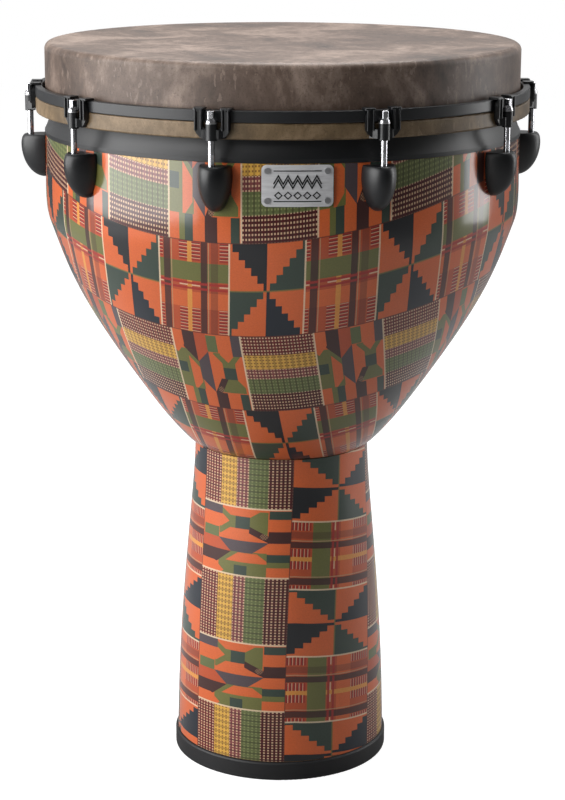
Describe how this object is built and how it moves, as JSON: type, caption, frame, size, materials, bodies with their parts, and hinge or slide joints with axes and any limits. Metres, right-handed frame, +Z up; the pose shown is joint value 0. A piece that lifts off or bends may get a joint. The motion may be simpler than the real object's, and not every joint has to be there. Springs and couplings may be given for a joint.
{
  "type": "djembe",
  "caption": "Goblet hand drum with a printed laminate shell, hide-look head, and black hoop, claws and lugs with threaded tuning rods.",
  "frame": {"origin": "centre of the foot ring's underside, on the drum's axis", "axes": "+Z up along the drum's axis, towards the head; the badge faces -Y"},
  "size_m": [0.4804, 0.466, 0.686],
  "materials": {
    "shell_fibre": "bare wood-fibre laminate, matte",
    "printed_wrap": "printed strip-weave fabric under satin clear coat",
    "black_plastic": "black moulded, satin",
    "foot_rubber": "black rubber, matte",
    "lug_plastic": "black moulded, satin",
    "nut_brass": "turned brass",
    "screw_steel": "zinc plated",
    "badge_metal": "brushed with embossed pattern",
    "rivet_metal": "satin",
    "head_film": "mottled hide-like film, satin",
    "hoop_skin": "mottled hide-like wrap, satin",
    "black_hoop": "black powder coat, satin",
    "clamp_casting": "black powder-coated casting",
    "rod_chrome": "polished chrome plate"
  },
  "bodies": {
    "shell": {"bowl_shell": "shell_fibre", "leg_shell": "shell_fibre", "bowl_wrap": "printed_wrap", "leg_wrap": "printed_wrap", "shoulder_band": "black_plastic", "foot_ring": "foot_rubber", "swivel_nuts": "nut_brass", "lug_screws": "screw_steel", "lug_washers": "screw_steel", "badge_plate": "badge_metal", "badge_rivets": "rivet_metal", "lug_01": "lug_plastic", "lug_02": "lug_plastic", "lug_03": "lug_plastic", "lug_04": "lug_plastic", "lug_05": "lug_plastic", "lug_06": "lug_plastic", "lug_07": "lug_plastic", "lug_08": "lug_plastic", "lug_09": "lug_plastic", "lug_10": "lug_plastic"},
    "head": {"drumhead": "head_film", "flesh_hoop": "hoop_skin"},
    "hoop": {"counterhoop": "black_hoop", "rod_washers": "screw_steel", "clamp_01": "clamp_casting", "clamp_02": "clamp_casting", "clamp_03": "clamp_casting", "clamp_04": "clamp_casting", "clamp_05": "clamp_casting", "clamp_06": "clamp_casting", "clamp_07": "clamp_casting", "clamp_08": "clamp_casting", "clamp_09": "clamp_casting", "clamp_10": "clamp_casting"},
    "rod_01": {"tension_rod_01": "rod_chrome"},
    "rod_02": {"tension_rod_02": "rod_chrome"},
    "rod_03": {"tension_rod_03": "rod_chrome"},
    "rod_04": {"tension_rod_04": "rod_chrome"},
    "rod_05": {"tension_rod_05": "rod_chrome"},
    "rod_06": {"tension_rod_06": "rod_chrome"},
    "rod_07": {"tension_rod_07": "rod_chrome"},
    "rod_08": {"tension_rod_08": "rod_chrome"},
    "rod_09": {"tension_rod_09": "rod_chrome"},
    "rod_10": {"tension_rod_10": "rod_chrome"}
  },
  "joints": [
    {"name": "head_lift", "type": "slide", "parent": "shell", "child": "head", "axis": [0, 0, 1], "range_m": [0, 0.08]},
    {"name": "hoop_travel", "type": "slide", "parent": "head", "child": "hoop", "axis": [0, 0, 1], "range_m": [0, 0.012]},
    {"name": "rod_01_turn", "type": "hinge", "parent": "hoop", "child": "rod_01", "pos_m": [-0.05877, -0.22402, 0.639], "axis": [0, 0, 1], "range_deg": [0, 4082]},
    {"name": "rod_02_turn", "type": "hinge", "parent": "hoop", "child": "rod_02", "pos_m": [0.08413, -0.21578, 0.639], "axis": [0, 0, 1], "range_deg": [0, 4082]},
    {"name": "rod_03_turn", "type": "hinge", "parent": "hoop", "child": "rod_03", "pos_m": [0.19489, -0.12512, 0.639], "axis": [0, 0, 1], "range_deg": [0, 4082]},
    {"name": "rod_04_turn", "type": "hinge", "parent": "hoop", "child": "rod_04", "pos_m": [0.23122, 0.01333, 0.639], "axis": [0, 0, 1], "range_deg": [0, 4082]},
    {"name": "rod_05_turn", "type": "hinge", "parent": "hoop", "child": "rod_05", "pos_m": [0.17922, 0.14669, 0.639], "axis": [0, 0, 1], "range_deg": [0, 4082]},
    {"name": "rod_06_turn", "type": "hinge", "parent": "hoop", "child": "rod_06", "pos_m": [0.05877, 0.22402, 0.639], "axis": [0, 0, 1], "range_deg": [0, 4082]},
    {"name": "rod_07_turn", "type": "hinge", "parent": "hoop", "child": "rod_07", "pos_m": [-0.08413, 0.21578, 0.639], "axis": [0, 0, 1], "range_deg": [0, 4082]},
    {"name": "rod_08_turn", "type": "hinge", "parent": "hoop", "child": "rod_08", "pos_m": [-0.19489, 0.12512, 0.639], "axis": [0, 0, 1], "range_deg": [0, 4082]},
    {"name": "rod_09_turn", "type": "hinge", "parent": "hoop", "child": "rod_09", "pos_m": [-0.23122, -0.01333, 0.639], "axis": [0, 0, 1], "range_deg": [0, 4082]},
    {"name": "rod_10_turn", "type": "hinge", "parent": "hoop", "child": "rod_10", "pos_m": [-0.17922, -0.14669, 0.639], "axis": [0, 0, 1], "range_deg": [0, 4082]}
  ],
  "couplings": [
    {"joint": "rod_01_turn", "follows": "hoop_travel", "rad_per_m": 5936.9},
    {"joint": "rod_02_turn", "follows": "hoop_travel", "rad_per_m": 5936.9},
    {"joint": "rod_03_turn", "follows": "hoop_travel", "rad_per_m": 5936.9},
    {"joint": "rod_04_turn", "follows": "hoop_travel", "rad_per_m": 5936.9},
    {"joint": "rod_05_turn", "follows": "hoop_travel", "rad_per_m": 5936.9},
    {"joint": "rod_06_turn", "follows": "hoop_travel", "rad_per_m": 5936.9},
    {"joint": "rod_07_turn", "follows": "hoop_travel", "rad_per_m": 5936.9},
    {"joint": "rod_08_turn", "follows": "hoop_travel", "rad_per_m": 5936.9},
    {"joint": "rod_09_turn", "follows": "hoop_travel", "rad_per_m": 5936.9},
    {"joint": "rod_10_turn", "follows": "hoop_travel", "rad_per_m": 5936.9}
  ]
}
